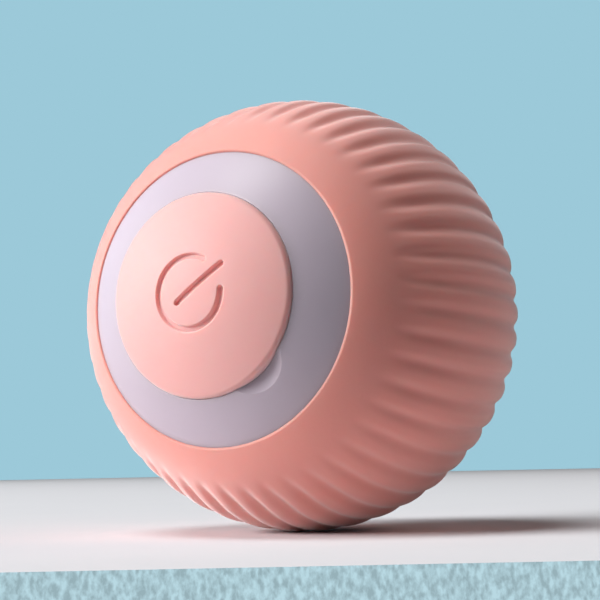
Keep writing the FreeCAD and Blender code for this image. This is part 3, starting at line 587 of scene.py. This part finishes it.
def run_tree(name, mesh, tree, inputs):
    """A plain mesh from a modifier tree run on a mesh, with its inputs set by identifier."""
    source = bpy.data.objects.new(name + "_source", mesh)
    bpy.context.scene.collection.objects.link(source)
    modifier = source.modifiers.new("nodes", "NODES")
    modifier.node_group = tree
    identifiers = {item.name: item.identifier for item in tree.interface.items_tree
                   if item.in_out == "INPUT"}
    for label, value in inputs.items():
        modifier[identifiers[label]] = value
    depsgraph = bpy.context.evaluated_depsgraph_get()
    result = bpy.data.meshes.new_from_object(source.evaluated_get(depsgraph))
    result.name = name
    bpy.data.objects.remove(source)
    return result


class CATBALL_OT_sleeve(bpy.types.Operator):
    """Build the ribbed silicone sleeve"""
    bl_idname = "cat_ball.sleeve"
    bl_label = "Silicone Sleeve"

    def execute(self, context):
        sizes = context.scene.cat_ball_sleeve
        material = soft_silicone("moulded_silicone", sizes.colour)
        around = sizes.rib_count * STEPS_PER_RIB
        smooth = spun_mesh("sleeve_wall", sleeve_outline(sizes), around)
        mesh = run_tree("ribbed_sleeve", smooth, rib_tree(), {
            "Rib Count": sizes.rib_count,
            "Rib Turn": sizes.rib_turn,
            "Valley Depth": sizes.valley_depth,
            "Fade Start": sizes.fade_start,
            "Fade Full": sizes.fade_full,
            "Fullness": sizes.fullness,
            "Skin Radius": (sizes.crest_radius + sizes.inner_radius) / 2,
            "Material": material,
        })
        piece = new_object("ribbed_sleeve", mesh, material)
        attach(piece, "shell")
        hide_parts("silicone_sleeve")
        return {"FINISHED"}


# Half shells

class CATBALL_OT_bands(bpy.types.Operator):
    """Finish the frosted half shells whose bands show round both discs"""
    bl_idname = "cat_ball.bands"
    bl_label = "Frosted Bands"

    def execute(self, context):
        colour = context.scene.cat_ball_band.colour
        material = frosted_polycarbonate("frosted_polycarbonate", colour)
        for node in ("front_shell", "rear_shell"):
            dress(node, material)
        return {"FINISHED"}


# Discs

def disc_outline(sizes, middle_rows):
    """A domed disc's wall as an (r, y) outline, in middle_rows rows where a sign can lie."""
    dome = sizes.dome_radius
    edge = sizes.edge_radius
    turn = sizes.edge_round
    inner = dome - sizes.wall
    skirt = edge - SKIRT_WALL
    middle = DISC_TOP - dome
    corner_r = edge - turn
    corner_y = math.sqrt((dome - turn) ** 2 - corner_r ** 2)
    lean = math.atan2(corner_y, corner_r)
    sign_end = math.acos(SIGN_FIELD_RADIUS / dome)
    top = arc_points((0, middle), dome, math.pi / 2, sign_end, middle_rows)
    side = arc_points((0, middle), dome, sign_end, lean, DISC_SIDE_ROWS)
    rim = arc_points((corner_r, middle + corner_y), turn, lean, 0.0, DISC_RIM_ROWS)
    under_start = math.acos(skirt / inner)
    under = arc_points((0, middle), inner, under_start, math.pi / 2, DISC_UNDER_ROWS)
    return joined(top, side, rim, [(edge, DISC_FOOT), (skirt, DISC_FOOT)], under)


def turned_point(x, z, angle):
    """A point's (along, across) seen from a direction counted from +X towards +Z."""
    return (x * math.cos(angle) + z * math.sin(angle), z * math.cos(angle) - x * math.sin(angle))


def sign_distance(x, z, sizes):
    """Distance in metres from the sign's centreline: a broken circle and a bar."""
    along, across = turned_point(x, z, sizes.bar_turn)
    bar = math.hypot(along - max(sizes.bar_low, min(sizes.bar_high, along)), across)
    along, across = turned_point(x, z, sizes.gap_turn)
    half_gap = sizes.gap_width / 2
    if abs(math.atan2(across, along)) > half_gap:
        circle = abs(math.hypot(along, across) - sizes.sign_radius)
    else:
        end_along = sizes.sign_radius * math.cos(half_gap)
        end_across = math.copysign(sizes.sign_radius * math.sin(half_gap), across)
        circle = math.hypot(along - end_along, across - end_across)
    return min(bar, circle)


class CATBALL_OT_button(bpy.types.Operator):
    """Build the domed power button with its engraved sign"""
    bl_idname = "cat_ball.button"
    bl_label = "Power Button"

    def execute(self, context):
        sizes = context.scene.cat_ball_disc

        def engrave(point):
            """Sinks the sign into the dome, and turns the button to face -Y."""
            sunk = 0.0
            if point.y > DISC_TOP - SIGN_FACE_DEPTH:
                depth = sizes.sign_stroke / 2 - sign_distance(point.x, point.z, sizes)
                share = max(0.0, min(1.0, 0.5 + depth / (2 * SIGN_EDGE_SOFTNESS)))
                sunk = sizes.sign_depth * share * share * (3 - 2 * share)
            return (point.x, -(point.y - sunk), point.z)

        outline = disc_outline(sizes, BUTTON_SIGN_ROWS)
        mesh = spun_mesh("power_button_cap", outline, BUTTON_STEPS, engrave)
        material = soft_silicone("soft_touch_disc", sizes.colour)
        piece = new_object("power_button_cap", mesh, material)
        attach(piece, "button")
        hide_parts("power_button")
        return {"FINISHED"}


class CATBALL_OT_cover(bpy.types.Operator):
    """Build the pull-off cover over the charging socket"""
    bl_idname = "cat_ball.cover"
    bl_label = "Charging Cover"

    def execute(self, context):
        sizes = context.scene.cat_ball_disc
        outline = disc_outline(sizes, COVER_FACE_ROWS)
        mesh = spun_mesh("charging_cover_cap", outline, COVER_STEPS)
        material = soft_silicone("soft_touch_cover", sizes.colour)
        piece = new_object("charging_cover_cap", mesh, material)
        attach(piece, "cover")
        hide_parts("charging_cover")
        return {"FINISHED"}


# Inner pieces

class CATBALL_OT_works(bpy.types.Operator):
    """Finish the works inside the ball"""
    bl_idname = "cat_ball.works"
    bl_label = "Inner Works"

    def execute(self, context):
        # Moulded and plated finishes take a name, an sRGB hex value, a roughness and a grain size
        finishes = {
            moulded_plastic("white_abs", "EDEDE8", 0.45, 0.25 * MM): (
                "button_plunger", "cover_insert", "front_carrier", "rear_carrier",
                "battery_tray", "motor_mount"),
            moulded_plastic("acetal", "F3F1E8", 0.3, 0.4 * MM): (
                "ring_gear", "front_bushing", "rear_bushing", "idler_gear"),
            moulded_plastic("black_abs", "1C1C1E", 0.5, 0.25 * MM): (
                "motor_end_cap", "board_chips", "switch_body", "switch_stem", "socket_tongue"),
            plated_metal("nickel_plated_steel", "C9CACC", 0.28, 0.12 * MM): (
                "counterweight", "weight_screws", "carrier_screws", "mount_screws", "motor_can",
                "motor_shaft", "idler_pin", "board_screws", "charging_socket"),
            plated_metal("brass", "D6B36A", 0.3, 0.12 * MM): ("motor_terminals", "motor_pinion"),
            plated_metal("enamelled_copper", "B8683A", 0.35, 0.2 * MM): ("motor_rotor",),
            plated_metal("laminated_foil", "BFC2C6", 0.4, 0.5 * MM): ("battery_cell",),
            solder_mask("solder_mask", "1E6B3C"): ("main_board", "switch_board"),
            moulded_plastic("lamp_resin", "F4EFC8", 0.15, 0.5 * MM): ("lamps",),
            moulded_plastic("white_silicone_seal", "ECEBEA", 0.6, 0.3 * MM): (
                "button_gasket", "cover_seal"),
            moulded_plastic("silicone_lead", "B03028", 0.5, 0.3 * MM): (
                "switch_leads", "battery_leads"),
        }
        for material, nodes in finishes.items():
            for node in nodes:
                dress(node, material)
        return {"FINISHED"}


# Stage

def area_light(name, place, size, power, colour):
    lamp = bpy.data.lights.new(name, "AREA")
    lamp.shape = "ELLIPSE"
    lamp.size, lamp.size_y = size
    lamp.energy = power
    lamp.color = linear(colour)[:3]
    light = bpy.data.objects.new(name, lamp)
    light.location = place
    light.rotation_mode = "QUATERNION"
    light.rotation_quaternion = (-Vector(place)).to_track_quat("-Z", "Y")
    light.visible_camera = False
    bpy.context.scene.collection.objects.link(light)


class CATBALL_OT_stage(bpy.types.Operator):
    """Set the floor, the backdrop, the lights and the camera"""
    bl_idname = "cat_ball.stage"
    bl_label = "Stage"

    def execute(self, context):
        stage = context.scene.cat_ball_stage
        self.make_floor(stage)
        self.make_backdrop(context, stage)
        for name, (aside, above, size, power, colour) in LAMPS.items():
            area_light(name, self.place_round(stage, aside, above), size, power, colour)
        self.make_camera(context, stage)
        context.scene.view_settings.view_transform = "Standard"
        return {"FINISHED"}

    def place_round(self, stage, aside, above):
        """A place for a lamp, from its angles to the camera's right and above the ball's centre."""
        turn = stage.azimuth + math.radians(aside)
        rise = math.radians(above)
        return stage.lamp_distance * Vector((
            math.sin(turn) * math.cos(rise), -math.cos(turn) * math.cos(rise), math.sin(rise)))

    def make_floor(self, stage):
        """A round board with a straight front edge between the ball and the camera."""
        half_open = math.acos(stage.board_front / stage.board_reach)
        front = stage.azimuth - math.pi / 2
        rim = []
        for step in range(FLOOR_STEPS + 1):
            angle = front + half_open + (TURN - 2 * half_open) * step / FLOOR_STEPS
            rim.append(stage.board_reach * Vector((math.cos(angle), math.sin(angle))))
        levels = (FLOOR_LEVEL, FLOOR_LEVEL - stage.board_depth)
        vertices = [(place.x, place.y, level) for level in levels for place in rim]
        count = len(rim)
        flats = [list(range(count)), list(range(2 * count - 1, count - 1, -1))]
        edges = []
        for step in range(count):
            after = (step + 1) % count
            edges.append([step, step + count, after + count, after])
        mesh = bpy.data.meshes.new("floor")
        mesh.from_pydata(vertices, [], flats + edges)
        mesh.update()
        floor = new_object("floor", mesh, painted_floor("painted_board", stage.floor))
        mesh.materials.append(rough_plaster("rough_plaster", stage.floor_edge))
        for face in mesh.polygons[len(flats):]:
            face.material_index = 1

    def make_backdrop(self, context, stage):
        """The backdrop's colour for the camera and in reflections, and a faint warm light."""
        world = bpy.data.worlds.new("backdrop")
        context.scene.world = world
        world.use_nodes = True
        tree = world.node_tree
        tree.nodes.clear()
        path = add_node(tree, "ShaderNodeLightPath")
        seen = path.outputs["Is Camera Ray"]
        for ray in ("Is Glossy Ray", "Is Transmission Ray"):
            seen = add_node(tree, "ShaderNodeMath", links={0: seen, 1: path.outputs[ray]},
                            operation="MAXIMUM").outputs[0]
        shown = add_node(tree, "ShaderNodeBackground",
                         {"Color": linear(stage.backdrop), "Strength": 1.0})
        ambient = add_node(tree, "ShaderNodeBackground",
                           {"Color": linear(AMBIENT_COLOUR), "Strength": AMBIENT_STRENGTH})
        mix = add_node(tree, "ShaderNodeMixShader", links={
            0: seen, 1: ambient.outputs[0], 2: shown.outputs[0]})
        add_node(tree, "ShaderNodeOutputWorld", links={"Surface": mix.outputs[0]})

    def make_camera(self, context, stage):
        """The photograph's camera, aimed so that the ball's centre falls on its pixel."""
        lens = bpy.data.cameras.new("photo_camera")
        lens.sensor_width = 36.0
        lens.lens = PHOTO_FOCAL / PHOTO_SIZE * lens.sensor_width
        lens.clip_start = 0.01
        lens.clip_end = 20.0
        camera = bpy.data.objects.new("photo_camera", lens)
        flat = math.cos(stage.elevation)
        camera.location = stage.distance * Vector((
            math.sin(stage.azimuth) * flat, -math.cos(stage.azimuth) * flat,
            math.sin(stage.elevation)))
        half = PHOTO_SIZE / 2
        tilt = math.atan((BALL_CENTRE_Y - half) / PHOTO_FOCAL)
        pan = math.atan((BALL_CENTRE_X - half) / PHOTO_FOCAL)
        rise = math.pi / 2 - stage.elevation + tilt
        upright = Euler((rise, 0.0, stage.azimuth + pan)).to_matrix()
        camera.rotation_euler = (upright @ Matrix.Rotation(stage.roll, 3, "Z")).to_euler()
        context.scene.collection.objects.link(camera)
        context.scene.camera = camera


class CATBALL_PT_panel(bpy.types.Panel):
    """Lists the ball's pieces in the sidebar"""
    bl_idname = "CATBALL_PT_panel"
    bl_label = "Cat Ball"
    bl_space_type = "VIEW_3D"
    bl_region_type = "UI"
    bl_category = "Cat Ball"

    def draw(self, context):
        layout = self.layout
        for operator in OPERATORS:
            layout.operator(operator.bl_idname)
        for group in SETTINGS:
            settings = getattr(context.scene, group)
            box = layout.box()
            for name in settings.bl_rna.properties.keys():
                if name not in ("rna_type", "name"):
                    box.prop(settings, name)


OPERATORS = (
    CATBALL_OT_sleeve,
    CATBALL_OT_bands,
    CATBALL_OT_button,
    CATBALL_OT_cover,
    CATBALL_OT_works,
    CATBALL_OT_stage,
)
SETTINGS = {
    "cat_ball_sleeve": SleeveSettings,
    "cat_ball_disc": DiscSettings,
    "cat_ball_band": BandSettings,
    "cat_ball_stage": StageSettings,
}


def register():
    for group in SETTINGS.values():
        bpy.utils.register_class(group)
    for operator in OPERATORS:
        bpy.utils.register_class(operator)
    bpy.utils.register_class(CATBALL_PT_panel)
    for name, group in SETTINGS.items():
        setattr(bpy.types.Scene, name, bpy.props.PointerProperty(type=group))


def unregister():
    for name in SETTINGS:
        delattr(bpy.types.Scene, name)
    bpy.utils.unregister_class(CATBALL_PT_panel)
    for operator in reversed(OPERATORS):
        bpy.utils.unregister_class(operator)
    for group in reversed(list(SETTINGS.values())):
        bpy.utils.unregister_class(group)


def main():
    register()
    bpy.ops.cat_ball.sleeve()
    bpy.ops.cat_ball.bands()
    bpy.ops.cat_ball.button()
    bpy.ops.cat_ball.cover()
    bpy.ops.cat_ball.works()
    bpy.ops.cat_ball.stage()


if __name__ == "__main__":
    main()
